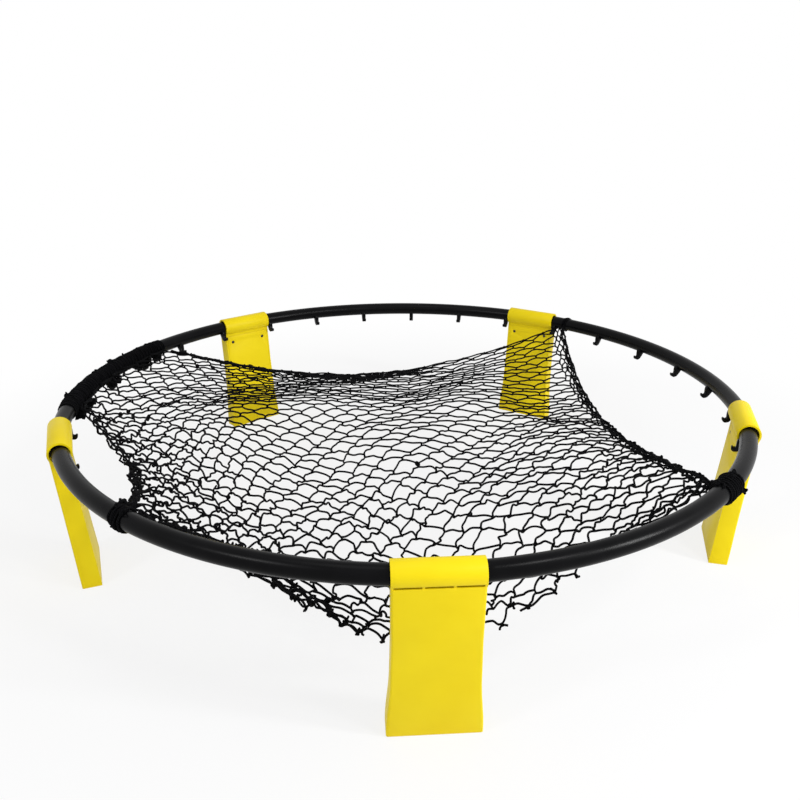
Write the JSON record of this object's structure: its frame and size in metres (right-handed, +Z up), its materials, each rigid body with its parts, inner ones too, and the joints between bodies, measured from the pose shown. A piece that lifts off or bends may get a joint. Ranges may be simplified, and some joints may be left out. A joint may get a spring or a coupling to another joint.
{
  "type": "roundnet",
  "caption": "Round ball-game net: a ring of black tube on flat yellow folding legs, with a slack knotted net tied to the rim and small hooks under it.",
  "frame": {"origin": "on the ground under the middle of the ring", "axes": "+Z up, -Y through the front leg, X across the ring"},
  "size_m": [0.9162, 0.9175, 0.1962],
  "materials": {
    "yellow_plastic": "satin moulded",
    "black_plastic": "satin",
    "screw_steel": "dull",
    "net_cord": "matt twine"
  },
  "bodies": {
    "ring": {"rim_tube_1": "black_plastic", "rim_sleeve_1": "black_plastic", "rim_tube_2": "black_plastic", "rim_sleeve_2": "black_plastic", "rim_tube_3": "black_plastic", "rim_sleeve_3": "black_plastic", "rim_tube_4": "black_plastic", "rim_sleeve_4": "black_plastic", "rim_tube_5": "black_plastic", "rim_sleeve_5": "black_plastic", "net": "net_cord"},
    "leg_1": {"leg_shell_1": "yellow_plastic", "leg_cover_1": "yellow_plastic", "cover_screw_1_left": "screw_steel", "cover_screw_1_right": "screw_steel"},
    "leg_2": {"leg_shell_2": "yellow_plastic", "leg_cover_2": "yellow_plastic", "cover_screw_2_left": "screw_steel", "cover_screw_2_right": "screw_steel"},
    "leg_3": {"leg_shell_3": "yellow_plastic", "leg_cover_3": "yellow_plastic", "cover_screw_3_left": "screw_steel", "cover_screw_3_right": "screw_steel"},
    "leg_4": {"leg_shell_4": "yellow_plastic", "leg_cover_4": "yellow_plastic", "cover_screw_4_left": "screw_steel", "cover_screw_4_right": "screw_steel"},
    "leg_5": {"leg_shell_5": "yellow_plastic", "leg_cover_5": "yellow_plastic", "cover_screw_5_left": "screw_steel", "cover_screw_5_right": "screw_steel"}
  },
  "joints": [
    {"name": "leg_1_fold", "type": "hinge", "parent": "ring", "child": "leg_1", "pos_m": [0, -0.44599, 0.182], "axis": [1, 0, 0], "range_deg": [0, 75], "deforming": ["net"]},
    {"name": "leg_2_fold", "type": "hinge", "parent": "ring", "child": "leg_2", "pos_m": [0.42417, -0.13782, 0.182], "axis": [0.309, 0.9511, 0], "range_deg": [0, 75], "deforming": ["net"]},
    {"name": "leg_3_fold", "type": "hinge", "parent": "ring", "child": "leg_3", "pos_m": [0.26215, 0.36082, 0.182], "axis": [-0.809, 0.5878, 0], "range_deg": [0, 75], "deforming": ["net"]},
    {"name": "leg_4_fold", "type": "hinge", "parent": "ring", "child": "leg_4", "pos_m": [-0.26215, 0.36082, 0.182], "axis": [-0.809, -0.5878, 0], "range_deg": [0, 75], "deforming": ["net"]},
    {"name": "leg_5_fold", "type": "hinge", "parent": "ring", "child": "leg_5", "pos_m": [-0.42417, -0.13782, 0.182], "axis": [0.309, -0.9511, 0], "range_deg": [0, 75], "deforming": ["net"]}
  ]
}
